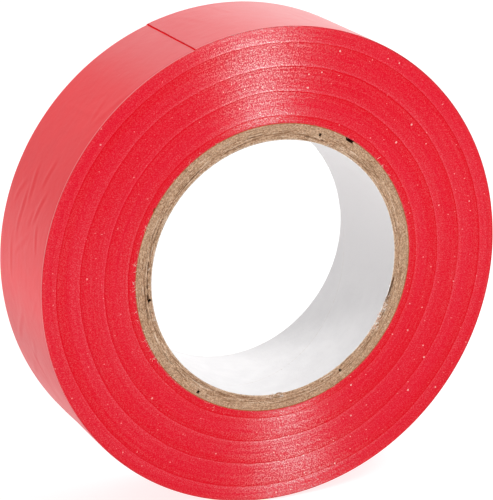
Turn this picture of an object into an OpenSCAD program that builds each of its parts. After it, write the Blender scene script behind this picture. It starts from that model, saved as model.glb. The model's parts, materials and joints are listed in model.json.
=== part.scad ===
// Roll of PVC electrical insulating tape on a spiral-wound paper core.
// The roll stands on its rim: its axis runs along Y, its front face looks
// towards -Y, and the origin is on the axis at mid width.
// Angles are measured in the XZ plane from +X towards +Z, which is
// anticlockwise seen from the front.

/* [Roll] */
// Outside diameter of the wound roll
roll_d = 74; // [66:0.5:90]
// Width of the tape, and of the core that it is wound on
tape_w = 19; // [12:0.5:25]

/* [Core] */
// Diameter of the bore
bore_d = 39.6; // [36:0.2:42]
// Thickness of the white paper liner
liner_t = 0.25; // [0.15:0.05:0.4]
// Thickness of one brown board ply
ply_t = 0.46; // [0.3:0.02:0.5]
// Glue line between neighbouring layers of the core and the first turns
glue_t = 0.01; // [0.005:0.005:0.02]
// Width of the butt seam in each board ply but the outermost
seam_w = 0.3; // [0.1:0.05:0.6]
// Width of the open gap in the outermost board ply, whose ends don't meet
open_seam_w = 0.9; // [0.3:0.1:2]
// Slant of the seams to the axis
seam_slant = 35; // [10:1:45]

/* [Tape] */
// Thickness of the PVC backing film
film_t = 0.10; // [0.08:0.01:0.16]
// Thickness of the adhesive coat under the film
adhesive_t = 0.03; // [0.02:0.005:0.05]
// Play between the outermost tape and the turn beneath it
lay_gap = 0.02; // [0.01:0.005:0.04]
// Number of visible winding rings on each side face
ring_count = 4; // [2:1:6]
// Depth of a winding ring
ring_depth = 0.05; // [0.02:0.01:0.1]

/* [Free end] */
// Angle of the cut end of the tape
end_angle = 110; // [80:1:130]
// Arc covered by one section of the liftable end
section_arc = 11; // [8:0.5:14]
// Gap between neighbouring sections, in degrees of arc
section_gap = 0.06; // [0.04:0.01:0.12]

/* [Hidden] */
$fn = 180;

roll_r = roll_d / 2;
bore_r = bore_d / 2;
tape_t = film_t + adhesive_t;
coat_gap = 0.004;                      // keeps film and adhesive as two solids
coat_top = film_t + coat_gap;          // depth of the adhesive under the surface
cut_extra = 1;                         // how far a cutting shape overshoots

// Core plies, then the inner limits of the tape
ply_count = 5;
seam_cutter_depth = 8;                 // radial size of the block that cuts a seam
function ply_r(i) = bore_r + liner_t + glue_t + (i - 1) * (ply_t + glue_t);
core_r = ply_r(ply_count) + ply_t;
first_r = core_r + glue_t;             // inside of the first turn of tape
wound_r = first_r + tape_t + glue_t;   // inside of the wound turns

// First turn of tape
first_turn_start = 150;
first_turn_arc = 358.5;

// Liftable end
section_count = 6;
end_arc = section_count * section_arc;
root_angle = end_angle - end_arc;      // where the liftable end leaves the roll

// Spiral of the outer turns, in degrees clockwise from the cut end
step_deg = 3;                          // pitch of the points along the spiral
last_turn_stop = 359.8;
wound_stop = 359.95;

// Winding rings, spread evenly from near the core to near the rim
ring_half_w = 0.14;
ring_first_r = wound_r + 0.9;
ring_last_r = roll_r - 2.3;
ring_radii = [for (i = [0 : ring_count - 1])
    ring_first_r + (ring_last_r - ring_first_r) * i / (ring_count - 1)];

film_red = [0.92, 0.30, 0.33];
adhesive_red = [0.80, 0.12, 0.14];

// Outer radius of the last turn, at a clockwise angle after the cut end.
// It is level along the liftable end, then falls by one tape thickness.
function turn_r(angle) = angle <= end_arc ? roll_r
    : roll_r - tape_t * (angle - end_arc) / (360 - end_arc);

// Point on the last turn, a given depth below its outer surface
function turn_point(angle, depth) =
    (turn_r(angle) - depth) * [cos(end_angle - angle), sin(end_angle - angle)];

// Turns a shape drawn in the XY plane so that its Z axis points to the front
module roll_axis() rotate([90, 0, 0]) children();

// A plain tube on the roll's axis, as wide as the tape
module tube(inner, outer) {
    roll_axis() difference() {
        cylinder(r = outer, h = tape_w, center = true);
        cylinder(r = inner, h = tape_w + 2 * cut_extra, center = true);
    }
}

// Board ply i, counted from the bore: a tube cut through by a slanted seam
module board_ply(i, seam_angle, gap = seam_w) {
    difference() {
        tube(ply_r(i), ply_r(i) + ply_t);
        rotate([0, -seam_angle, 0])
            translate([ply_r(i), 0, 0])
            rotate([seam_slant, 0, 0])
            cube([seam_cutter_depth, 3 * tape_w, gap], center = true);
    }
}

// A band of tape between two radii, over an arc that starts at an angle
module arc_band(inner, outer, start, arc) {
    roll_axis() rotate([0, 0, start]) rotate_extrude(angle = arc)
        translate([inner, -tape_w / 2]) square([outer - inner, tape_w]);
}

// A band of the last turn, between two depths below its outer surface
module spiral_band(top, bottom) {
    start = end_arc + section_gap / 2;
    arc = last_turn_stop - start;
    count = floor(arc / step_deg);
    angles = [for (i = [0 : count]) start + arc * i / count];
    roll_axis() linear_extrude(height = tape_w, center = true) polygon(concat(
        [for (angle = angles) turn_point(angle, top)],
        [for (i = [count : -1 : 0]) turn_point(angles[i], bottom)]));
}

// Section k of the liftable end, counted from its root, between two depths
module end_band(k, top, bottom) {
    arc_band(roll_r - bottom, roll_r - top,
        start = root_angle + (k - 1) * section_arc + section_gap / 2,
        arc = section_arc - section_gap);
}

// Half profile of the wound turns, with a shallow V groove in both side faces
// at each winding ring. It overshoots the rim, which the spiral then trims.
module wound_profile() {
    half_w = tape_w / 2;
    outer = roll_r + cut_extra;
    front_edge = concat([[wound_r, half_w]],
        [for (r = ring_radii) each [
            [r - ring_half_w, half_w],
            [r, half_w - ring_depth],
            [r + ring_half_w, half_w]]],
        [[outer, half_w]]);
    back_edge = [for (i = [len(front_edge) - 1 : -1 : 0])
        [front_edge[i][0], -front_edge[i][1]]];
    polygon(concat(front_edge, back_edge));
}

// Paper liner of the bore
module core_liner() color([0.94, 0.94, 0.94]) tube(bore_r, bore_r + liner_t);

// Board plies, each with its seam at its own angle
module core_ply_1() color([0.66, 0.50, 0.38]) board_ply(1, seam_angle = 205);
module core_ply_2() color([0.72, 0.57, 0.44]) board_ply(2, seam_angle = 320);
module core_ply_3() color([0.70, 0.55, 0.42]) board_ply(3, seam_angle = 88);
module core_ply_4() color([0.73, 0.58, 0.45]) board_ply(4, seam_angle = 252);
module core_ply_5() color([0.71, 0.56, 0.43])
    board_ply(ply_count, seam_angle = 74, gap = open_seam_w);

// First turn of tape, round the core, with a small gap between its ends
module tape_first_turn() color([0.86, 0.10, 0.14])
    arc_band(first_r, first_r + tape_t, first_turn_start, first_turn_arc);

// Every turn between the first and the last, following the spiral outside
module tape_wound_turns() color([0.90, 0.14, 0.18]) roll_axis() intersection() {
    count = 360 / step_deg;
    rotate_extrude() wound_profile();
    linear_extrude(height = tape_w + 4 * cut_extra, center = true) polygon(
        [for (i = [0 : count])
            turn_point(i == count ? wound_stop : i * step_deg, tape_t + lay_gap)]);
}

// Last turn, from the root of the liftable end clockwise to just short of
// the cut end
module tape_last_turn_film() color([0.90, 0.18, 0.22]) spiral_band(0, film_t);
module tape_last_turn_adhesive() color(adhesive_red) spiral_band(coat_top, tape_t);

// Liftable end of the tape, as short sections of film and adhesive
module tape_end_film(k) color(film_red) end_band(k, 0, film_t);
module tape_end_adhesive(k) color(adhesive_red) end_band(k, coat_top, tape_t);

core_liner();
core_ply_1();
core_ply_2();
core_ply_3();
core_ply_4();
core_ply_5();
tape_first_turn();
tape_wound_turns();
tape_last_turn_film();
tape_last_turn_adhesive();
tape_end_film(1);  // tape_end_film_1
tape_end_film(2);  // tape_end_film_2
tape_end_film(3);  // tape_end_film_3
tape_end_film(4);  // tape_end_film_4
tape_end_film(5);  // tape_end_film_5
tape_end_film(6);  // tape_end_film_6
tape_end_adhesive(1);  // tape_end_adhesive_1
tape_end_adhesive(2);  // tape_end_adhesive_2
tape_end_adhesive(3);  // tape_end_adhesive_3
tape_end_adhesive(4);  // tape_end_adhesive_4
tape_end_adhesive(5);  // tape_end_adhesive_5
tape_end_adhesive(6);  // tape_end_adhesive_6
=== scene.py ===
# A roll of red PVC tape on a board core with a white liner, standing on a pale floor.
# The roll's axis is Y through the origin and its front side faces -Y. Angles are degrees
# from +X towards +Z, so seen from the front they fall clockwise. Lengths are millimetres
# unless noted. The cut end of the tape lies at END, and its last stretch can be lifted.
import bmesh
import bpy
import json
import math
import numpy as np
from functools import cached_property
from mathutils import Matrix, Vector


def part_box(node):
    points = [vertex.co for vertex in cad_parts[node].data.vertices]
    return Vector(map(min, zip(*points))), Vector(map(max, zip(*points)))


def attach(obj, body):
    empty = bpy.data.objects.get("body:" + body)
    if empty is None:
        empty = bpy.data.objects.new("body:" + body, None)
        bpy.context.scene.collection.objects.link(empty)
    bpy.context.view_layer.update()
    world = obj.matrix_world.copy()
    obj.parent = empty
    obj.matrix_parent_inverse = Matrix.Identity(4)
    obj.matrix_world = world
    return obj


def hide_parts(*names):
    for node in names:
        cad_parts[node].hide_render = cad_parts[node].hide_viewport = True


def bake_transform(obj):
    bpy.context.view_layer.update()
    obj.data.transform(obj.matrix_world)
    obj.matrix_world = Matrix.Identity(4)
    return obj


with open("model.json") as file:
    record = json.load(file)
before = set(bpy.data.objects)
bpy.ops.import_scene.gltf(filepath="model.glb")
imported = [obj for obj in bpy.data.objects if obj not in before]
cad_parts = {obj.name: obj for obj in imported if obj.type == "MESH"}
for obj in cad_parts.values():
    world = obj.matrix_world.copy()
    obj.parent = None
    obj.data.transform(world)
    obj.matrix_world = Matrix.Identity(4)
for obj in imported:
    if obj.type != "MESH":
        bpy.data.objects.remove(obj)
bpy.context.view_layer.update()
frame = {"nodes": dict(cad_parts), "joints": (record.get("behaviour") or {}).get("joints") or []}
MM = 0.001


# ---------------------------------------------------------------- sizes from the CAD frame
def ring_radius(node, pick):
    points = np.array([v.co for v in frame["nodes"][node].data.vertices], float)
    return float(pick(np.hypot(points[:, 0], points[:, 2]))) / MM


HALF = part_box("tape_wound_turns")[1].y / MM            # half the width of the tape
RADIUS = ring_radius("tape_end_film_6", np.max)
FILM = RADIUS - ring_radius("tape_end_film_6", np.min)
TAPE = RADIUS - ring_radius("tape_end_adhesive_6", np.min)    # film and adhesive together
BORE = ring_radius("core_liner", np.min)
LINER = ring_radius("core_liner", np.max)
PLIES = {i: (ring_radius(f"core_ply_{i}", np.min), ring_radius(f"core_ply_{i}", np.max))
         for i in range(1, 6)}
CORE = PLIES[5][1]
WOUND = ring_radius("tape_wound_turns", np.min)
END = 110.0
peel = next(j for j in frame["joints"] if j["name"] == "tape_peel")["pos_m"]
ROOT = math.degrees(math.atan2(peel[2], peel[0]))      # where the liftable end begins
FREE = END - ROOT
SECTION = FREE / 6
GAP = 0.02                                             # between the last turn and those below
COAT_GAP = 0.004                                       # between film and adhesive
SEAM_START, SEAM_SPAN = 137.0, 143.0    # the liner's seam starts at -137 degrees and runs on


def turn_radius(angle):
    """Outer radius of the last turn, a given angle clockwise of the cut end."""
    angle = np.asarray(angle, float)
    return np.where(angle <= FREE, RADIUS, RADIUS - TAPE * (angle - FREE) / (360 - FREE))


def wave(seed, terms, low, high):
    """Smooth seeded noise round the roll: sines of low to high periods a turn."""
    rng = np.random.default_rng(seed)
    periods = rng.integers(low, high, terms)
    phases = rng.uniform(0, 2 * np.pi, terms)
    sizes = rng.uniform(0.4, 1, terms)
    sizes /= np.sqrt((sizes ** 2).sum() / 2)
    return lambda angle: sum(sizes[i] * np.sin(periods[i] * angle + phases[i])
                             for i in range(terms))


def offset_angle(deg, centre):
    """Signed angle from centre, within half a turn."""
    return (deg - centre + 180) % 360 - 180


# ---------------------------------------------------------------- mesh helpers
def new_object(name, verts, faces):
    mesh = bpy.data.meshes.new(name)
    mesh.from_pydata([tuple(v) for v in np.asarray(verts) * MM], [], [tuple(f) for f in faces])
    mesh.validate()
    mesh.update()
    ob = bpy.data.objects.new(name, mesh)
    bpy.context.scene.collection.objects.link(ob)
    mesh.shade_smooth()
    mesh.set_sharp_from_angle(angle=math.radians(32))
    bm = bmesh.new()
    bm.from_mesh(mesh)
    bmesh.ops.recalc_face_normals(bm, faces=bm.faces)
    bm.to_mesh(mesh)
    bm.free()
    mesh.update()
    return ob


def flat_cap(count, start):
    return [list(range(start, start + count))]


def rung_cap(count, start):
    """Caps a loop that runs out along one side and back along the other, rung by rung."""
    return [[start + k, start + k + 1, start + count - 2 - k, start + count - 1 - k]
            for k in range(count // 2 - 1)]


def sweep(name, loops, cap=None):
    """Skins equal closed loops. Without a cap the last loop joins the first."""
    n, m = len(loops), len(loops[0])
    i = np.arange(n - 1 if cap else n)[:, None]
    k = np.arange(m)[None, :]
    here, ahead = i * m, (i + 1) % n * m
    across = (k + 1) % m
    corners = [here + k, ahead + k, ahead + across, here + across]
    faces = np.stack(corners, -1).reshape(-1, 4).tolist()
    if cap:
        faces += cap(m, 0) + [face[::-1] for face in cap(m, (n - 1) * m)]
    return new_object(name, np.concatenate(loops), faces)


def polar(radius, deg, y):
    angle = np.radians(deg)
    return np.stack(np.broadcast_arrays(radius * np.cos(angle), y, radius * np.sin(angle)), -1)


def paint(ob, *materials):
    ob.data.materials.clear()
    for material in materials:
        ob.data.materials.append(material)
    return ob


def paint_tape(ob, inside):
    """Film outwards, slit edges sideways, and the slot given by inside on inward faces."""
    paint(ob, FILM_LOOK, SIDE_LOOK, ADHESIVE_LOOK)
    for p in ob.data.polygons:
        normal, centre = p.normal, p.center
        reach = max(1e-9, math.hypot(centre.x, centre.z))
        outward = (normal.x * centre.x + normal.z * centre.z) / reach
        p.material_index = 0 if outward > 0.5 else (1 if outward > -0.5 else inside)
    return ob


def on_roll(ob, piece):
    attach(ob, "roll")
    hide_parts(piece)


# ---------------------------------------------------------------- shader helpers
def connect(value, socket):
    """Links a socket or sets a plain value; colours are given without alpha."""
    value = getattr(value, "socket", value)
    if isinstance(value, bpy.types.NodeSocket):
        socket.id_data.links.new(value, socket)
    else:
        socket.default_value = (*value, 1.0) if socket.type == "RGBA" else value


def add_node(tree, kind, inputs=None, **settings):
    node = tree.nodes.new("ShaderNode" + kind)
    for key, value in settings.items():
        setattr(node, key, value)
    for key, value in (inputs or {}).items():
        connect(value, node.inputs[key])
    return node


class Value:
    """One number of a shader. Arithmetic on it adds Math nodes."""
    def __init__(self, mat, socket):
        self.mat, self.socket = mat, socket

    def __rsub__(self, other):
        return self.mat.math("SUBTRACT", other, self)

    def __abs__(self):
        return self.mat.math("ABSOLUTE", self)


for symbol, operation in {"add": "ADD", "sub": "SUBTRACT", "mul": "MULTIPLY",
                          "truediv": "DIVIDE", "pow": "POWER", "lt": "LESS_THAN"}.items():
    setattr(Value, f"__{symbol}__", lambda self, other, operation=operation:
            self.mat.math(operation, self, other))


class Material:
    """A Principled material, with the surface point in mm and its place round the roll."""
    def __init__(self, name):
        self.material = bpy.data.materials.new(name)
        self.material.use_nodes = True
        self.tree = self.material.node_tree
        self.tree.nodes.clear()
        self.shader = self.node("BsdfPrincipled")
        self.node("OutputMaterial", {0: self.shader.outputs[0]})
        place = self.node("TexCoord").outputs["Object"]
        self.point = self.node("VectorMath", {0: place, "Scale": 1 / MM},
                               operation="SCALE").outputs[0]

    def node(self, kind, inputs=None, **settings):
        return add_node(self.tree, kind, inputs, **settings)

    @cached_property
    def xyz(self):
        return [Value(self, out) for out in self.node("SeparateXYZ", {0: self.point}).outputs]

    @property
    def y(self):
        return self.xyz[1]

    @cached_property
    def radius(self):
        x, _, z = self.xyz
        return self.math("SQRT", x * x + z * z)

    @cached_property
    def cos(self):
        return self.xyz[0] / self.radius

    @cached_property
    def sin(self):
        return self.xyz[2] / self.radius

    @cached_property
    def degrees(self):
        return self.math("ARCTAN2", self.xyz[2], self.xyz[0]) * (180 / math.pi)

    def math(self, operation, a, b=0.0):
        return Value(self, self.node("Math", {0: a, 1: b}, operation=operation).outputs[0])

    def vector(self, x, y, z):
        return self.node("CombineXYZ", {0: x, 1: y, 2: z}).outputs[0]

    def shift(self, point, offset):
        return self.node("VectorMath", {0: point, 1: offset}, operation="ADD").outputs[0]

    def around(self, across, along, width):
        """A point scaled across the radius, along the windings and over the width."""
        return self.vector(self.radius * across, self.cos * along,
                           self.sin * along + self.y * width)

    def noise(self, point=None, scale=1, detail=3, rough=0.55):
        inputs = {"Vector": point or self.point, "Scale": scale, "Detail": detail,
                  "Roughness": rough}
        return Value(self, self.node("TexNoise", inputs).outputs["Fac"])

    def cells(self, point, scale, dimensions):
        """Distance to a Voronoi cell's centre, and two random numbers of that cell."""
        cell = self.node("TexVoronoi", {"Vector": point, "Scale": scale},
                         voronoi_dimensions=dimensions)
        split = self.node("SeparateColor", {0: cell.outputs["Color"]})
        outs = cell.outputs["Distance"], split.outputs[0], split.outputs[1]
        return [Value(self, out) for out in outs]

    def attribute(self, name):
        return Value(self, self.node("Attribute", attribute_name=name).outputs["Fac"])

    def ramp(self, value, over, to=(0, 1)):
        """Eases from to[0] to to[1] while the value crosses over."""
        inputs = dict(enumerate((value, *over, *to)))
        node = self.node("MapRange", inputs, interpolation_type="SMOOTHSTEP")
        return Value(self, node.outputs[0])

    def mix(self, mask, low, high):
        return self.node("Mix", {0: mask, 6: low, 7: high}, data_type="RGBA").outputs[2]

    def tint(self, base, mask, rgb, over=None, to=(0, 1)):
        """Lays a colour over base by a mask, which is ramped first if over is given."""
        return self.mix(self.ramp(mask, over, to) if over else mask, base, rgb)

    def bump(self, height, distance, strength):
        """Distance is in metres."""
        inputs = {"Height": height, "Distance": distance, "Strength": strength}
        return self.node("Bump", inputs).outputs[0]

    def finish(self, **inputs):
        for name, value in inputs.items():
            connect(value, self.shader.inputs[name.replace("_", " ")])
        return self.material


def specks(mat, scale, size, share, seed):
    """Small dots in a share of the cells of a Voronoi pattern."""
    shifted = mat.shift(mat.point, (seed, seed * 1.7, seed * 0.6))
    wobble = mat.vector(mat.noise(scale=3) * 0.5, 0.0, mat.noise(scale=4) * 0.5)
    distance, chance, chosen = mat.cells(mat.shift(shifted, wobble), scale, "3D")
    dot_radius = (chosen + 0.45) * size
    dot = mat.ramp(distance - dot_radius * scale, over=(-0.02 * scale, 0.02 * scale), to=(1, 0))
    return (chance < share) * dot


def side_dust(mat, scale, size, share, seed=0.0):
    """Dust on a side face: at most one dot in each cell of a flat Voronoi pattern."""
    wobble = mat.noise(scale=4) * 0.35
    x, _, z = mat.xyz
    point = mat.vector((x + seed) + wobble, z + seed * 1.7, 0.0)
    distance, chance, chosen = mat.cells(point, scale, "2D")
    dot_radius = (chosen ** 2.0 + 0.40) * (size * scale)
    dot = mat.ramp(distance - dot_radius, over=(-0.03 * scale, 0.03 * scale), to=(1, 0))
    return (chance < share) * dot


def split_shadow_stretch(mat, below, fade):
    """Mask of a painted shadow in an open split: a broken patch round an angle below +X, fading
    out between 2 and fade degrees away.
    """
    return (mat.ramp(abs(mat.degrees + below), over=(2, fade), to=(1, 0))
            * mat.ramp(mat.noise(scale=2, detail=4), over=(0.38, 0.56), to=(0.15, 1)))


# ---------------------------------------------------------------- materials
def side_material():
    """Slit edges of the wound tape: lines along the windings, dust, a sheen across them."""
    mat = Material("tape_slit_edges")
    turn = mat.noise(mat.around(across=2.9, along=1.6, width=0.05), detail=4, rough=0.66)
    band = mat.noise(mat.around(across=0.50, along=0.7, width=0.02), detail=2, rough=0.5)
    grain = mat.noise(scale=6.5, rough=0.75)
    streak = mat.noise(mat.around(across=7, along=14, width=0.1), rough=0.7)
    line = mat.noise(mat.around(across=3.7, along=2.2, width=0.05), detail=2, rough=0.5)
    patch = mat.noise(mat.around(across=0.4, along=3, width=0))
    fleck = mat.noise(scale=5.2, detail=4, rough=0.85)
    ring = mat.attribute("ring")
    bundle = mat.attribute("bundle")

    base = mat.mix(mat.ramp(band, over=(0.35, 0.65)),
                   low=(0.770, 0.0035, 0.020), high=(0.780, 0.0060, 0.027))
    for mask, over, to, rgb in (
            (turn, (0.45, 0.75), (0, 0.16), (0.80, 0.014, 0.032)),
            (fleck, (0.50, 0.72), (0, 0.40), (0.785, 0.016, 0.038)),
            (fleck, (0.28, 0.46), (0.35, 0), (0.755, 0.0010, 0.010)),
            (bundle, (0, 0.50), (0.28, 0), (0.785, 0.0165, 0.040)),    # painted highlight: bundles start pale just outside each ring
            (bundle, (0.03, 0.14), (0.60, 0), (0.795, 0.0230, 0.048)),
            (bundle, (0.35, 1), (0, 0.50), (0.765, 0.0006, 0.010))):   # and painted shade: they end deep toward the next ring
        base = mat.tint(base, mask, rgb, over, to)

    # dark lines along the windings, and painted shade in the rings between bundles; the colour is
    # painted a little paler on the left side, where light falls on the ring steps, and the rings
    # are painted weaker there
    left = mat.ramp(mat.cos, over=(-0.75, 0.55), to=(1, 0))
    dark_line_shade = mat.mix(left, low=(0.725, 0.0002, 0.004), high=(0.745, 0.0004, 0.005))
    lines = (mat.ramp(line, over=(0.65, 0.69), to=(0, 0.16))
             * mat.ramp(grain, over=(0.35, 0.6), to=(0.4, 1)))
    base = mat.tint(base, lines, rgb=dark_line_shade)
    broken = (mat.ramp(patch, over=(0.25, 0.70), to=(0.60, 0.95))
              * mat.ramp(left, over=(0.3, 0.9), to=(1, 0.55)))
    base = mat.tint(base, ring * broken, rgb=dark_line_shade)

    # deeper by the core, paler at the rim
    base = mat.tint(base, mat.radius, over=(CORE, CORE + 3.2), to=(0.35, 0),
                    rgb=(0.76, 0.003, 0.012))
    base = mat.tint(base, mat.radius, over=(RADIUS - 1.2, RADIUS - 0.1), to=(0, 0.35),
                    rgb=(0.82, 0.030, 0.045))

    coarse = side_dust(mat, scale=0.40, size=0.115, share=0.24)
    small = side_dust(mat, scale=0.75, size=0.070, share=0.16, seed=11.0) * 0.7
    lint = (specks(mat, scale=1.0, size=0.085, share=0.55, seed=31.0)
            * mat.ramp(mat.radius, over=(CORE + 0.3, CORE + 3.0), to=(0.9, 0)))
    dust = mat.math("MAXIMUM", mat.math("MAXIMUM", coarse, small), lint)
    dust = dust * mat.ramp(mat.cos, over=(-0.7, 0.5), to=(0.50, 0.80))
    base = mat.tint(base, dust, rgb=(0.93, 0.56, 0.52))

    # the shine breaks up in flecks, falls off through a bundle and is weak in the rings
    shine = (mat.ramp(fleck, over=(0.47, 0.60), to=(0.08, 0.98))
             * mat.ramp(turn, over=(0.36, 0.64), to=(0.62, 1.22)))
    shine = shine * (mat.ramp(bundle, over=(0, 0.45), to=(1.22, 0.90))
                     * mat.ramp(bundle, over=(0.02, 0.12), to=(1.25, 1)))
    shine = shine * (1.0 - ring * 0.7)
    height = turn * 0.12 + (streak * 0.20 + grain * 0.16)
    tangent = mat.node("Tangent", direction_type="RADIAL", axis="Y")
    return mat.finish(
        Base_Color=base, Roughness=mat.ramp(turn, over=(0.3, 0.7), to=(0.38, 0.46)),
        Anisotropic=1.0, Anisotropic_Rotation=0.25, Tangent=tangent.outputs[0],
        Normal=mat.bump(height, distance=0.00010, strength=0.40), Specular_IOR_Level=shine)


def film_material():
    """Outside of the PVC film: satin and hazy, with fine stretch marks."""
    mat = Material("pvc_film_outside")

    def skin(along, width):
        return mat.vector(mat.cos * along, mat.y * width, mat.sin * along)

    haze = mat.noise(skin(along=9, width=0.25), rough=0.5)
    fine = mat.noise(scale=7, rough=0.6)
    marks = mat.noise(skin(along=16, width=2.6))
    soft = mat.noise(scale=0.55, detail=2, rough=0.5)
    base = mat.mix(mat.ramp(haze, over=(0.3, 0.7)),
                   low=(0.92, 0.009, 0.021), high=(0.94, 0.014, 0.026))
    # darker at the top, and painted shade on the lower half, which faces away from the top lights
    base = mat.tint(base, mat.sin, over=(0.68, 0.96), rgb=(0.740, 0.018, 0.029))
    base = mat.tint(base, mat.sin, over=(-0.30, 0.02), to=(1, 0), rgb=(0.700, 0.011, 0.020))
    base = mat.tint(base, fine, over=(0.45, 0.8), to=(0, 0.25), rgb=(0.90, 0.045, 0.056))
    # painted highlight: the slit edge of the film is painted a little paler, for light caught on
    # its rounded edge
    base = mat.tint(base, abs(mat.y), over=(HALF - 0.26, HALF - 0.06), to=(0, 0.85),
                    rgb=(0.93, 0.30, 0.31))
    height = marks * 0.04 + (fine * 0.02 + soft * 0.9)
    return mat.finish(
        Base_Color=base,
        Roughness=mat.ramp(haze, over=(0.3, 0.7), to=(0.37, 0.40))
        + mat.ramp(fine, over=(0.4, 0.7), to=(0, 0.05)),
        Normal=mat.bump(height, distance=0.00009, strength=0.6),
        Specular_IOR_Level=mat.ramp(mat.sin, over=(0.15, 0.45), to=(0.40, 0.22))
        + mat.ramp(mat.sin, over=(0.76, 0.95), to=(0, 0.36)),
        Sheen_Weight=0.04, Sheen_Roughness=0.4,
        Coat_Weight=mat.ramp(mat.cos, over=(-0.30, 0.16), to=(0.02, 0.62))
        * mat.ramp(mat.sin, over=(0.2, 0.6)),
        Coat_Roughness=0.30)


def adhesive_material():
    mat = Material("rubber_adhesive")
    blot = mat.noise(scale=2.2, detail=4, rough=0.6)
    smear = mat.noise(mat.around(across=3, along=2, width=0.8), rough=0.6)
    base = mat.mix(mat.ramp(blot, over=(0.35, 0.7)),
                   low=(0.62, 0.006, 0.012), high=(0.72, 0.012, 0.018))
    return mat.finish(
        Base_Color=base, Roughness=mat.ramp(smear, over=(0.3, 0.7), to=(0.22, 0.36)),
        Normal=mat.bump(blot * 0.5 + smear * 0.5, distance=0.00003, strength=0.4),
        Coat_Weight=0.05, Coat_Roughness=0.10, Specular_IOR_Level=0.28)


def bead_material():
    """Thin bead of adhesive past the cut end: saturated, with little shine."""
    mat = Material("adhesive_bead")
    blot = mat.noise(scale=3, rough=0.6)
    return mat.finish(
        Base_Color=mat.mix(mat.ramp(blot, over=(0.35, 0.65)),
                           low=(0.66, 0.0015, 0.006), high=(0.86, 0.004, 0.012)),
        Roughness=0.8, Normal=mat.bump(blot, distance=0.00004, strength=0.5),
        Specular_IOR_Level=0.06,
        # painted light: a faint red glow lifts the bead out of the shade of the cut film end
        Emission_Color=(0.80, 0.004, 0.012), Emission_Strength=0.16)


def board_material(i):
    """Cut edge of grey-brown kraft board: fibres, dark pits and ply lines near the bore."""
    mat = Material(f"kraft_board_{i}")
    seed = 3.7 * i
    fibres = mat.noise(mat.shift(mat.around(across=5.5, along=55, width=2.2),
                                 (seed, seed * 2.0, seed * 0.7)), detail=4, rough=0.72)
    fine = mat.noise(mat.around(across=5.2, along=78, width=2.2), detail=4, rough=0.86)
    layers = mat.noise(mat.shift(mat.around(across=6.5, along=6, width=0.6),
                                 (seed * 2.0, 1.0, seed)), rough=0.7)
    blot = mat.noise(scale=0.8, rough=0.6)
    pits = mat.noise(mat.shift(mat.around(across=4.5, along=30, width=1),
                               (seed * 5.0, 3.0, 1.0)), detail=2, rough=0.5)
    lines = {1: 1.0, 2: 0.95, 3: 0.75}.get(i, 0.22)    # strength of the ply lines
    base = mat.mix(mat.ramp(fibres, over=(0.36, 0.66)),
                   low=(0.30, 0.145, 0.068), high=(0.70, 0.430, 0.265))
    for mask, over, to, rgb in (
            (fine, (0.48, 0.66), (0, 0.80), (0.91, 0.69, 0.50)),      # pale fibres
            (fine, (0.33, 0.47), (0.85, 0), (0.17, 0.080, 0.036)),    # dark fibres
            (blot, (0.35, 0.7), (0, 0.30), (0.58, 0.38, 0.245)),
            (layers, (0.53, 0.61), (0, lines), (0.25, 0.125, 0.060)),
            (layers, (0.44, 0.34), (0, lines * 0.7), (0.95, 0.78, 0.62)),
            (pits, (0.70, 0.78), (0, 0.7), (0.10, 0.050, 0.026))):
        base = mat.tint(base, mask, rgb, over, to)
    inner, outer = PLIES[i]
    if i == 5:    # orange-brown outer edge
        base = mat.tint(base, mat.radius + (fibres - 0.5) * 0.12,
                        over=(outer - 0.15, outer - 0.05), to=(0, 0.95),
                        rgb=(0.45, 0.130, 0.022))
    if i == 1:    # painted shadow in the open split beside the liner
        split = mat.ramp(mat.radius + fibres * 0.2, over=(inner + 0.22, inner + 0.36), to=(1, 0))
        base = mat.tint(base, split * split_shadow_stretch(mat, below=17.5, fade=6),
                        rgb=(0.06, 0.028, 0.014))
    height = fibres + (fine * 0.8 + mat.ramp(pits, over=(0.70, 0.78)) * -1.2)
    return mat.finish(
        Base_Color=base, Roughness=mat.ramp(fibres, over=(0.3, 0.7), to=(0.95, 0.82)),
        Normal=mat.bump(height, distance=0.00012, strength=0.7),
        Specular_IOR_Level=0.25, Sheen_Weight=0.08)


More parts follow.
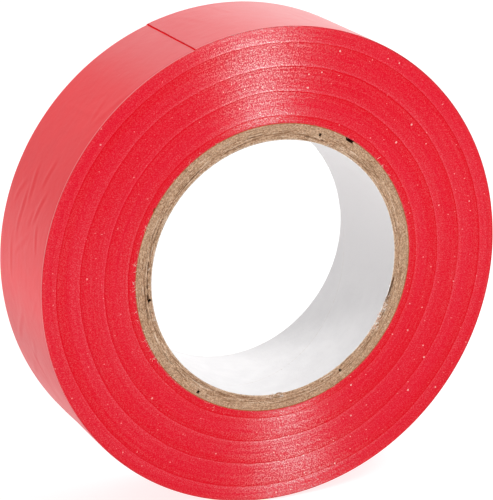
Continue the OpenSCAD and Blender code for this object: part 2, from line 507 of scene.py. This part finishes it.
def liner_material():
    """White paper inside the bore: faint mottle, grey specks, a brownish seam and edges."""
    mat = Material("white_liner_paper")
    mottle = mat.noise(scale=0.35, detail=4, rough=0.6)
    fine = mat.noise(scale=9, rough=0.65)
    base = mat.mix(mat.ramp(mottle, over=(0.3, 0.7)),
                   low=(0.790, 0.777, 0.783), high=(0.835, 0.823, 0.827))
    # painted shade: darker everywhere but the bottom of the bore, most over the upper half, which
    # faces down away from the top light
    base = mat.tint(base, mat.sin, over=(-0.85, 0.05), to=(0, 0.85), rgb=(0.740, 0.722, 0.724))
    base = mat.tint(base, fine, over=(0.4, 0.8), to=(0, 0.25), rgb=(0.88, 0.88, 0.885))

    seam_y = (mat.degrees + SEAM_START) * (2 * HALF / SEAM_SPAN) + -HALF
    seam = (mat.ramp(abs(mat.y - seam_y), over=(0.03, 0.16), to=(1, 0))
            * mat.ramp(mat.noise(scale=1.4), over=(0.35, 0.65), to=(0.25, 1)))
    base = mat.tint(base, seam * 0.45, rgb=(0.62, 0.56, 0.50))

    # brown patches near both ends, then a broken white lip
    brown = (mat.ramp(abs(mat.y), over=(HALF - 0.22, HALF - 0.04), to=(0, 0.75))
             * mat.ramp(mat.noise(scale=2.4, detail=4), over=(0.60, 0.70)))
    base = mat.tint(base, brown, rgb=(0.66, 0.52, 0.40))
    white = (mat.ramp(abs(mat.y), over=(HALF - 0.08, HALF - 0.02), to=(0, 0.9))
             * mat.ramp(mat.noise(scale=1.7, detail=4), over=(0.48, 0.60), to=(0.10, 1)))
    base = mat.tint(base, white, rgb=(0.97, 0.97, 0.965))

    # under its white face the liner is brown paper too
    fibres = mat.noise(mat.around(across=5.5, along=55, width=2.2), detail=4, rough=0.72)
    paper = mat.mix(mat.ramp(fibres, over=(0.36, 0.62)),
                    low=(0.36, 0.20, 0.10), high=(0.76, 0.54, 0.37))
    base = mat.tint(base, mat.radius, over=(BORE + 0.07, BORE + 0.12), to=(0, 0.95), rgb=paper)
    # painted shadow in the open split between the liner and the first ply
    split = mat.ramp(mat.radius, over=(BORE + 0.10, BORE + 0.15))
    base = mat.tint(base, split * split_shadow_stretch(mat, below=18, fade=6.5),
                    rgb=(0.07, 0.032, 0.016))
    dots = specks(mat, scale=0.42, size=0.075, share=0.22, seed=5.0)
    base = mat.tint(base, dots * 0.60, rgb=(0.30, 0.28, 0.28))
    return mat.finish(
        Base_Color=base, Roughness=mat.ramp(mottle, over=(0.3, 0.7), to=(0.52, 0.62)),
        Normal=mat.bump(mottle * 1.2 + fine * 0.2, distance=0.00012, strength=0.5),
        Specular_IOR_Level=0.4)


def seam_shadow_material():
    """Walls of an open seam, painted dark for the shadow inside the gap."""
    mat = Material("board_seam_shadow")
    blot = mat.noise(scale=5, rough=0.7)
    return mat.finish(
        Base_Color=mat.mix(mat.ramp(blot, over=(0.35, 0.65)),
                           low=(0.020, 0.010, 0.006), high=(0.060, 0.028, 0.014)),
        Roughness=0.9, Normal=mat.bump(blot, distance=0.00008, strength=0.6),
        Specular_IOR_Level=0.1)


def fibre_material():
    mat = Material("pale_paper_fibre")
    return mat.finish(
        Base_Color=mat.mix(mat.ramp(mat.noise(scale=1.6, detail=2), over=(0.4, 0.6)),
                           low=(0.80, 0.50, 0.36), high=(0.92, 0.86, 0.80)),
        Roughness=0.85,
        Normal=mat.bump(mat.noise(scale=14, detail=2), distance=0.00003, strength=0.5))


SIDE_LOOK = side_material()
FILM_LOOK = film_material()
ADHESIVE_LOOK = adhesive_material()
LINER_LOOK = liner_material()
BEAD_LOOK = bead_material()
BOARD_LOOKS = {i: board_material(i) for i in PLIES}
SEAM_SHADOW_LOOK = seam_shadow_material()

# ---------------------------------------------------------------- wound turns
TURNS = 112
BUNDLE_RINGS = [0.072, 0.330, 0.590, 0.848]    # shares of the wound depth
# share of one turn, and how far its rounded slit edge dips there
TURN_PROFILE = ((0.0, 0.006), (0.30, 0.001), (0.70, 0.001), (1.0, 0.006))


def build_wound():
    """Rounded slit edges on each side, in five bundles that step at the rings."""
    phi = np.linspace(0, 359.94, 420)
    deg = END - phi
    angle = np.radians(deg)
    outer = turn_radius(phi) - TAPE - GAP
    rng = np.random.default_rng(7)
    jitter = {side: np.clip(rng.normal(0, 0.0018, TURNS), -0.005, 0.005) for side in (-1, 1)}
    soft = [wave(80 + k, 4, 1, 6)(angle) for k in range(7)]
    rings = [ring + 0.0030 * wave(40 + i, 6, 2, 14)(angle)
             + 0.0010 * wave(60 + i, 8, 20, 90)(angle) for i, ring in enumerate(BUNDLE_RINGS)]
    edges = [np.full(angle.shape, -0.02)] + rings + [np.full(angle.shape, 1.06)]

    def row(side, k, part, dip):
        """Radius, y, nearness to a ring and share of the bundle, round the roll."""
        u = (k + part) / TURNS
        bundle, ring = np.zeros(angle.shape), np.zeros(angle.shape)
        for low, high in zip(edges[:-1], edges[1:]):
            bundle = np.where((u >= low) & (u < high), (u - low) / (high - low), bundle)
        for place in rings:
            ring = np.maximum(ring, np.exp(-((u - place + 0.003) / 0.0056) ** 2))
        # the edge rises through a bundle and drops at each ring
        depth = 0.060 - 0.034 * bundle ** 0.8 + 0.026 * bundle ** 7
        depth = depth + jitter[side][k] + 0.0012 * soft[k % 7]
        y = side * (HALF - np.clip(depth + dip, 0.001, 0.16))
        # only the outermost turns follow the spiral
        radius = WOUND + (outer.min() - WOUND) * u + (outer - outer.min()) * u ** 60
        return radius, y, ring, bundle

    front, back = ([row(side, k, part, dip) for k in range(TURNS) for part, dip in TURN_PROFILE
                    if part < 1.0 or k == TURNS - 1] for side in (-1, 1))
    rows = front + back[::-1]
    ob = sweep("tape_wound_turns_spiral",
               np.stack([polar(radius, deg, y) for radius, y, _, _ in rows], 1))
    for column, label in ((2, "ring"), (3, "bundle")):
        values = np.stack([entry[column] for entry in rows], 1).ravel().astype(np.float32)
        ob.data.attributes.new(label, "FLOAT", "POINT").data.foreach_set("value", values)
    on_roll(paint_tape(ob, inside=2), "tape_wound_turns")
    return ob


# ---------------------------------------------------------------- relief of the film
# angle, y, length, slant in degrees, width, height
CREASES = [
    (153, -2.5, 5.0, 78, 0.45, 0.050), (157, 1.5, 6.0, 100, 0.5, 0.055),
    (161, -3.5, 5.5, 70, 0.40, 0.060), (164, 2.8, 7.0, 84, 0.45, 0.055),
    (160, 5.5, 4.0, 60, 0.5, 0.040), (168, -5.0, 4.0, 110, 0.4, 0.045),
    (171, 0.5, 5.0, 35, 0.55, 0.045), (176, 4.5, 6.0, 95, 0.6, 0.035),
    (192, 3.0, 7.5, 48, 0.60, 0.055), (197, -1.0, 5.0, 55, 0.7, 0.040),
    (204, 4.0, 6.0, 40, 0.7, 0.045), (213, 2.0, 5.0, 30, 0.6, 0.035),
    (102, 3.0, 7.0, 12, 0.6, 0.020), (94, 5.0, 6.0, 8, 0.6, 0.020),
    (78, -2.0, 8.0, 5, 0.7, 0.018)]
CREASE_RANGES = ((-230, 40), (-8, 8), (2.5, 7), (0, 180), (0.35, 0.8), (0.012, 0.045))
crease_rng = np.random.default_rng(21)
CREASES += [tuple(crease_rng.uniform(*limits) for limits in CREASE_RANGES) for _ in range(34)]
# angle, y, width, height
DENTS = [(187, 3.0, 3.2, -0.050), (207, -3.0, 2.6, -0.06), (221, 1.0, 3.0, -0.05),
         (140, 0.0, 6.0, -0.03), (-40, 2.0, 4.0, -0.05), (-150, -3.0, 3.5, -0.05)]


def relief(deg, y):
    """Height of short creases, each with a trough beside it, and of shallow dents."""
    height = np.zeros(deg.shape)
    for centre, y0, length, slant, width, rise in CREASES:
        arc = offset_angle(deg, centre) * math.pi / 180 * RADIUS
        cos, sin = math.cos(math.radians(slant)), math.sin(math.radians(slant))
        along = (y - y0) * cos + arc * sin
        across = -(y - y0) * sin + arc * cos
        across = across + 0.05 * along * np.sin(along * 0.9 + centre)
        fall = np.exp(-(along / (0.5 * length)) ** 4)
        height += 1.5 * rise * np.exp(-(across / (0.9 * width)) ** 2) * fall
        height -= 0.75 * rise * np.exp(-((across - 1.3 * width) / (1.1 * width)) ** 2) * fall
    for centre, y0, width, rise in DENTS:
        arc = offset_angle(deg, centre) * math.pi / 180 * RADIUS
        height += rise * np.exp(-(arc * arc + (y - y0) ** 2) / (width * width))
    # level at the slit edges and by the cut end
    return (height * np.clip((HALF - np.abs(y)) / 0.8, 0, 1)
            * np.clip((np.abs(offset_angle(deg, END)) - 0.8) / 2.5, 0, 1))


# ---------------------------------------------------------------- stretches of tape
front_wander, back_wander = wave(301, 6, 3, 40), wave(302, 6, 3, 40)
FILM_MESH = {"pitch": 0.34, "rows": 60}    # degrees between loops, points across the width


def film_radii(deg):
    top = turn_radius(END - deg)
    return top, top - FILM


def adhesive_radii(deg):
    top = turn_radius(END - deg)
    return top - FILM - COAT_GAP, top - TAPE


def cut_line(y):
    """Unevenness of the cut, in degrees."""
    return 0.030 * np.sin(y * 1.9 + 0.6) + 0.022 * np.sin(y * 5.3) + 0.012 * np.sin(y * 11.0)


def tip_lift(deg, y):
    """The cut end stands a hair off the roll."""
    share = np.clip((deg - (END - 4.2)) / 4.2, 0, 1)
    return (0.007 + 0.003 * np.sin(y * 0.7 + 1.0) + 0.002 * (y / HALF) ** 2) * share ** 2.2


def strip(name, first, last, radii, pitch, rows, film=False, lifted=False, cut=False):
    """Tape between two angles; radii gives its outer and inner radius at an angle."""
    count = max(3, int(abs(last - first) / pitch) + 1)
    # rows across the width lie closer together near the edges
    spread = np.linspace(-1, 1, rows)
    row_y = HALF * np.sign(spread) * (1 - (1 - np.abs(spread)) ** 1.25)
    loops = []
    for j, angle in enumerate(np.linspace(first, last, count)):
        y = row_y.copy()
        deg = np.full(rows, angle)
        if cut:
            deg = deg + cut_line(y) * (j / (count - 1)) ** 6
        y[0] = -HALF + max(0.0, 0.010 + 0.008 * front_wander(math.radians(angle)))
        y[-1] = HALF - max(0.0, 0.010 + 0.008 * back_wander(math.radians(angle)))
        top, bottom = (radius + np.zeros(rows) for radius in radii(angle))
        if film:
            top = top + relief(deg, y)
            top[[0, -1]] -= 0.055    # soft edge radius
            top[[1, -2]] -= 0.012
        if lifted:
            top, bottom = top + tip_lift(deg, y), bottom + tip_lift(deg, y)
        if film and cut and j == count - 1:
            top = top - 0.02
        loops.append(np.concatenate([polar(top, deg, y), polar(bottom, deg, y)[::-1]]))
    return sweep(name, loops, rung_cap)


def build_last_turn():
    """From the hand-over to the liftable end, once round the roll."""
    first, last = END - (FREE + SECTION / 2), END - 359.97
    film = strip("tape_last_turn", first, last, film_radii, film=True, **FILM_MESH)
    on_roll(paint_tape(film, inside=0), "tape_last_turn_film")
    coat = strip("tape_last_turn_adhesive_coat", first, last, adhesive_radii, pitch=1.2, rows=6)
    on_roll(paint(coat, ADHESIVE_LOOK), "tape_last_turn_adhesive")


BEAD = 0.34    # degrees of adhesive that show past the cut film


def build_free_film(k, first, last):
    ob = strip(f"tape_free_film_{k}", first, last, film_radii, film=True,
               lifted=k >= 6, cut=k == 7, **FILM_MESH)
    return paint_tape(ob, inside=0)


def build_free_adhesive(k, first, last):
    tip = k == 7
    ob = strip(f"tape_free_adhesive_{k}", first, last + (BEAD if tip else 0), adhesive_radii,
               pitch=0.8, rows=8, lifted=k >= 6, cut=tip)
    paint(ob, ADHESIVE_LOOK, BEAD_LOOK)
    if tip:
        for p in ob.data.polygons:
            if math.degrees(math.atan2(p.center.z, p.center.x)) > END - 0.25:
                p.material_index = 1
    return ob


def build_free_end():
    """Seven stretches, each from the middle of one part of the end to the middle of the next; the
    tip is rigid.
    """
    for k in range(1, 8):
        first = ROOT + (k - 1.5) * SECTION
        last = ROOT + (k - 0.5) * SECTION if k < 7 else END
        for kind, slot, build in (("film", "pvc_film", build_free_film),
                                  ("adhesive", "adhesive", build_free_adhesive)):
            ob = build(k, first, last)
            if k == 7:
                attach(ob, "tape_end_6")
                continue
            tuple(polar(RADIUS, first, 0.0) * MM)
            tuple(polar(RADIUS, last, 0.0) * MM)
            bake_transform(ob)
            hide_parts(f"tape_end_{kind}_{k}")


def build_first_turn():
    ob = strip("tape_first_turn_strip", 150.0, 508.5, lambda deg: (WOUND - 0.01, CORE + 0.01),
               pitch=1.5, rows=6)
    on_roll(paint(ob, SIDE_LOOK), "tape_first_turn")


# ---------------------------------------------------------------- core plies
# each ply's seam: angle, gap
PLY_SEAMS = {1: (205, 0.3), 2: (320, 0.3), 3: (88, 0.3), 4: (252, 0.3), 5: (74, 1.15)}
SEAM_SLANT = math.radians(35)
PLY_ROWS = 6
GRAIN = {(side, row): wave(540 + side * 60 + row, 16, 20, 260)
         for side in (0, 1) for row in range(5 * (PLY_ROWS - 1) + 1)}
# places on the front where layers have come apart:
# ply below the split (0 is the liner), angle, half-width in degrees, opening
SPLITS = [
    (1, 176, 17, 0.16), (2, 186, 10, 0.10), (1, 128, 7, 0.10), (1, 232, 9, 0.07),
    (2, 100, 5, 0.10), (1, 72, 6, 0.10), (0, -17, 7, 0.50), (0, -28, 3, 0.30),
    (1, -30, 8, 0.08), (3, 66, 5, 0.05), (1, -88, 3, 0.12), (1, 150, 10, 0.09),
    (2, 160, 12, 0.07), (3, 178, 8, 0.05), (2, 214, 7, 0.06), (1, 258, 6, 0.05),
    (1, 108, 6, 0.08), (3, 110, 4, 0.06), (1, 46, 7, 0.05), (1, 12, 9, 0.04),
    (2, -40, 6, 0.06), (1, -66, 5, 0.06), (0, 182, 14, 0.05)]


def grain(side, row, angle):
    near = [GRAIN[side, j](angle) for j in (row - 1, row, row + 1) if (side, j) in GRAIN]
    return sum(near) / len(near) ** 0.5


def opening(below, deg):
    width = np.zeros(deg.shape)
    for ply, centre, half_width, size in SPLITS:
        if ply == below:
            ragged = 0.75 + 0.35 * wave(900 + int(centre) % 97, 8, 20, 120)(np.radians(deg))
            width = width + size * np.exp(-(offset_angle(deg, centre) / half_width) ** 4) * ragged
    return width


def build_ply(i):
    """One board ply: rough end faces, and a slanted seam with torn walls."""
    inner, outer = PLIES[i]
    seam, gap = PLY_SEAMS[i]
    half_gap = math.degrees(gap / 2 / math.cos(SEAM_SLANT) / outer)
    count, width_rows, steps = 900, 9, PLY_ROWS - 1
    base = np.linspace(seam + half_gap, seam + 360 - half_gap, count)
    rng = np.random.default_rng(600 + i)
    low, high = inner - 0.004, outer + 0.004    # neighbouring plies overlap a hair

    def slant(y):
        return np.degrees(y * math.tan(SEAM_SLANT) / ((inner + outer) / 2))

    def roughness(side, k, deg):
        rough = grain(side, (i - 1) * steps + k, np.radians(deg))
        return 0.045 + 0.016 * rough + rng.normal(0, 0.010, count)

    def level(radius, y):
        return np.full(count, radius), np.full(count, y)

    rows = []
    front = base + slant(-HALF)
    open_in, open_out = opening(i - 1, front), opening(i, front)
    start, stop = low + 0.5 * open_in, high - 0.5 * open_out
    for k in range(PLY_ROWS):                  # front face, sunk beside the splits
        depth = roughness(0, k, front)
        depth = (depth + 0.10 * (open_in / 0.16) * max(0, 1 - k / 1.5)
                 + 0.10 * (open_out / 0.16) * max(0, 1 - (steps - k) / 1.5))
        rows.append((start + (stop - start) * k / steps, -HALF + np.clip(depth, 0.0, 0.2)))
    width_y = [-HALF + 2 * HALF * q / (width_rows - 1) for q in range(1, width_rows - 1)]
    rows += [level(high if i < 5 else outer, y) for y in width_y]    # outside
    for k in range(steps, -1, -1):             # back face
        depth = roughness(1, k, base + slant(HALF))
        rows.append((low + (high - low) * k / steps + np.zeros(count),
                     HALF - np.clip(depth, 0.0, 0.2)))
    rows += [level(low, y) for y in width_y[::-1]]                   # inside

    tail = np.exp(-np.arange(count) / 2.0)
    torn = rng.uniform(-0.32, 0.32, (len(rows), 2)) * (half_gap / 1.5)
    loops = np.stack([
        polar(radius, base + slant(y) + torn[k, 0] * tail - torn[k, 1] * tail[::-1], y)
        for k, (radius, y) in enumerate(rows)], 1)
    ob = paint(sweep(f"core_board_ply_{i}", loops, flat_cap), BOARD_LOOKS[i], SEAM_SHADOW_LOOK)
    # the seam walls take the painted seam shadow
    for p in ob.data.polygons[-2:]:
        p.material_index = 1
    on_roll(ob, f"core_ply_{i}")


# ---------------------------------------------------------------- white liner
# chips out of the front and back edges: angle, half-width in degrees, depth
LINER_CHIPS = ([(-88, 1.1, 0.34), (-22, 2.2, 0.16), (64, 1.6, 0.12), (-52, 1.8, 0.10)],
               [(40, 1.4, 0.2), (150, 2.0, 0.15), (-100, 1.2, 0.25)])


def build_liner():
    count, width_rows = 720, 60
    deg = np.linspace(-180, 180, count, endpoint=False)
    angle = np.radians(deg)
    rng = np.random.default_rng(9)
    edges = []
    for side, chips in enumerate(LINER_CHIPS):
        edge = (0.012 + 0.010 * wave(700 + side, 14, 10, 160)(angle)
                + np.abs(rng.normal(0, 0.008, count)))
        for centre, half_width, depth in chips:
            edge = edge + depth * np.exp(-(offset_angle(deg, centre) / half_width) ** 4)
        edges.append(np.clip(edge, 0.0, 0.5))
    seam_y = -HALF + (deg + SEAM_START) * 2 * HALF / SEAM_SPAN
    rows = []
    for q in np.linspace(0, 1, width_rows):
        y = (-HALF + edges[0]) * (1 - q) + (HALF - edges[1]) * q
        past = y - seam_y
        # the paper steps back at the seam and returns over some millimetres
        step = (np.where(past > 0, 0.060 * np.exp(-past / 3.0), 0.0)
                * np.clip((past + 0.02) / 0.04, 0, 1))
        lip = sum(0.05 * np.exp(-(part * 2 * HALF / 0.35) ** 2) for part in (1 - q, q))
        rows.append((BORE + 0.004 + step + 0.35 * lip + 0.006 * np.sin(3 * angle + 9 * q), y))
    rows += [(np.full(count, LINER), rows[j][1]) for j in [*range(width_rows - 1, 0, -6), 0]]
    ob = sweep("core_liner_paper", np.stack([polar(radius, deg, y) for radius, y in rows], 1))
    on_roll(paint(ob, LINER_LOOK), "core_liner")


# ---------------------------------------------------------------- loose paper fibres
# by side: from angle, to angle, count
OUTER_FIBRES = {-1: [(150, 215, 44), (215, 300, 14), (20, 75, 8), (100, 145, 12)],
                1: [(0, 360, 30)]}
# by side: from angle, to angle, count, farthest start outside the liner
INNER_FIBRES = {-1: [(-40, -24, 34, 0.30), (-24, -14, 8, 0.30), (-95, -84, 14, 0.30),
                     (55, 75, 6, 0.45), (165, 200, 14, 0.45), (90, 130, 10, 0.45)],
                1: [(0, 360, 24, 0.45)]}


def build_fibres():
    """Short bent tapering tubes round both edges of the core."""
    rng = np.random.default_rng(77)
    verts, faces = [], []
    rings, sides = 7, 5

    def fibre(radius, deg, y, length, thickness, heading, out):
        angle = math.radians(deg)
        radial = np.array([math.cos(angle), 0, math.sin(angle)])
        around = np.array([-math.sin(angle), 0, math.cos(angle)])
        axis = np.array([0, math.copysign(1, y), 0])
        point = radial * radius + np.array([0, y, 0])
        bend = rng.normal(0, 1.4)
        start = len(verts)
        for k in range(rings):
            turned = heading + bend * k / rings
            ahead = (math.cos(turned) * radial + math.sin(turned) * around
                     + out * (0.6 - k / rings) * axis)
            ahead /= np.linalg.norm(ahead)
            if k:
                point = point + ahead * length / (rings - 1)
            across = np.cross(ahead, axis)
            across /= np.linalg.norm(across)
            up = np.cross(ahead, across)
            size = thickness * (1 - 0.55 * k / (rings - 1))
            for s in range(sides):
                spin = 2 * math.pi * s / sides
                verts.append(point + size * (math.cos(spin) * across + math.sin(spin) * up))
        for k in range(rings - 1):
            for s in range(sides):
                a = start + k * sides + s
                b = start + k * sides + (s + 1) % sides
                faces.append((a, b, b + sides, a + sides))
        faces.append(flat_cap(sides, start)[0][::-1])
        faces.append(flat_cap(sides, start + (rings - 1) * sides)[0])

    def scatter(count, radius, starts, angles, y, lengths, thicknesses, headings, out):
        for _ in range(count):
            fibre(radius + rng.uniform(*starts), rng.uniform(*angles), y, rng.uniform(*lengths),
                  rng.uniform(*thicknesses), rng.uniform(*headings), out)

    for side in (-1, 1):
        y = side * (HALF - 0.03)
        for low, high, count in OUTER_FIBRES[side]:
            scatter(count, CORE, (-0.25, 0.35), (low, high), y, lengths=(0.18, 0.70),
                    thicknesses=(0.014, 0.030), headings=(-1.9, 1.9), out=0.35)
        for low, high, count, farthest in INNER_FIBRES[side]:
            scatter(count, LINER, (-0.12, farthest), (low, high), y, lengths=(0.2, 0.6),
                    thicknesses=(0.02, 0.045), headings=(0, 6.28), out=0.3)
    # torn flakes where the liner has come away
    scatter(22, LINER, (-0.15, 0.35), (-36, -23), -(HALF - 0.02), lengths=(0.35, 0.75),
            thicknesses=(0.05, 0.09), headings=(0.87, 2.47), out=0.25)
    ob = new_object("core_paper_fibres", verts, faces)
    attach(paint(ob, fibre_material()), "roll")


wound = build_wound()
build_last_turn()
build_free_end()
build_first_turn()
for ply in PLIES:
    build_ply(ply)
build_liner()
build_fibres()


# ---------------------------------------------------------------- stage, in metres
def build_floor():
    bpy.ops.mesh.primitive_plane_add(size=6, location=(0, 0.6, -RADIUS * MM - 0.0002))
    floor = bpy.context.object
    floor.name = "floor"
    material = bpy.data.materials.new("pale_floor")
    material.use_nodes = True
    sockets = material.node_tree.nodes["Principled BSDF"].inputs
    for name, value in {"Base Color": (0.36, 0.36, 0.36), "Roughness": 0.9,
                        "Emission Color": (1, 1, 1), "Emission Strength": 0.80,
                        "Specular IOR Level": 0.1}.items():
        connect(value, sockets[name])
    floor.data.materials.append(material)


def build_world():
    """White surroundings, brightest behind the roll and a little to the right."""
    world = bpy.data.worlds.new("studio")
    bpy.context.scene.world = world
    world.use_nodes = True
    tree = world.node_tree
    tree.nodes.clear()
    view = add_node(tree, "TexCoord").outputs["Generated"]
    toward = add_node(tree, "VectorMath", {0: view, 1: (0.35, 0.90, 0.0)},
                      operation="DOT_PRODUCT").outputs["Value"]
    over, strengths = (-0.40, 0.60), (0.26, 1.12)
    strength = add_node(tree, "MapRange", dict(enumerate((toward, *over, *strengths))),
                        interpolation_type="SMOOTHSTEP").outputs[0]
    light = add_node(tree, "Background", {"Strength": strength, "Color": (1, 1, 1)})
    add_node(tree, "OutputWorld", {0: light.outputs[0]})


def area(name, location, size, power, color=(1, 1, 1)):
    """Rectangular light aimed at the origin."""
    light = bpy.data.lights.new(name, "AREA")
    light.shape = "RECTANGLE"
    light.size, light.size_y = size
    light.energy = power
    light.color = color
    ob = bpy.data.objects.new(name, light)
    bpy.context.scene.collection.objects.link(ob)
    ob.location = location
    ob.rotation_mode = "QUATERNION"
    ob.rotation_quaternion = (-Vector(location)).to_track_quat("-Z", "Y")
    return ob


def build_lights():
    area("key", location=(0.230, -0.390, 0.600), size=(0.22, 0.22), power=3.0)
    # a narrow light for the sheen on the slit edges alone
    streak = area("streak", location=(0.170, -0.440, 0.235), size=(0.10, 0.12), power=5.3,
                  color=(0.38, 1.0, 1.0))
    streak.visible_diffuse = False
    lit = bpy.data.collections.new("lit_by_streak")
    lit.objects.link(wound)
    streak.light_linking.receiver_collection = lit
    area("back_top", location=(0.25, 0.75, 0.50), size=(0.9, 0.35), power=0.5)
    area("left_fill", location=(-0.70, -0.15, 0.32), size=(0.5, 0.5), power=0.38)


def build_camera():
    """Looks from the front, a little left and above; offsets are in roll radii."""
    right = Vector((0.9167, -0.3996, 0.0))
    down = Vector((-0.1190, -0.2729, -0.9547))
    forward = Vector((0.3815, 0.8751, -0.2977))
    offset = 0.1167 * right + 0.0777 * down + 10.0858 * forward
    position = Vector((0, -HALF * MM, 0)) - RADIUS * MM * offset
    data = bpy.data.cameras.new("camera")
    data.sensor_width = 36.0
    data.lens = 179.856
    data.clip_start, data.clip_end = 0.01, 50
    camera = bpy.data.objects.new("camera", data)
    bpy.context.scene.collection.objects.link(camera)
    axes = (right.normalized(), (-down).normalized(), (-forward).normalized())
    camera.matrix_world = Matrix.Translation(position) @ Matrix(axes).transposed().to_4x4()
    bpy.context.scene.camera = camera


build_floor()
build_world()
build_lights()
build_camera()
bpy.context.scene.view_settings.view_transform = "Standard"
bpy.context.scene.view_settings.look = "None"
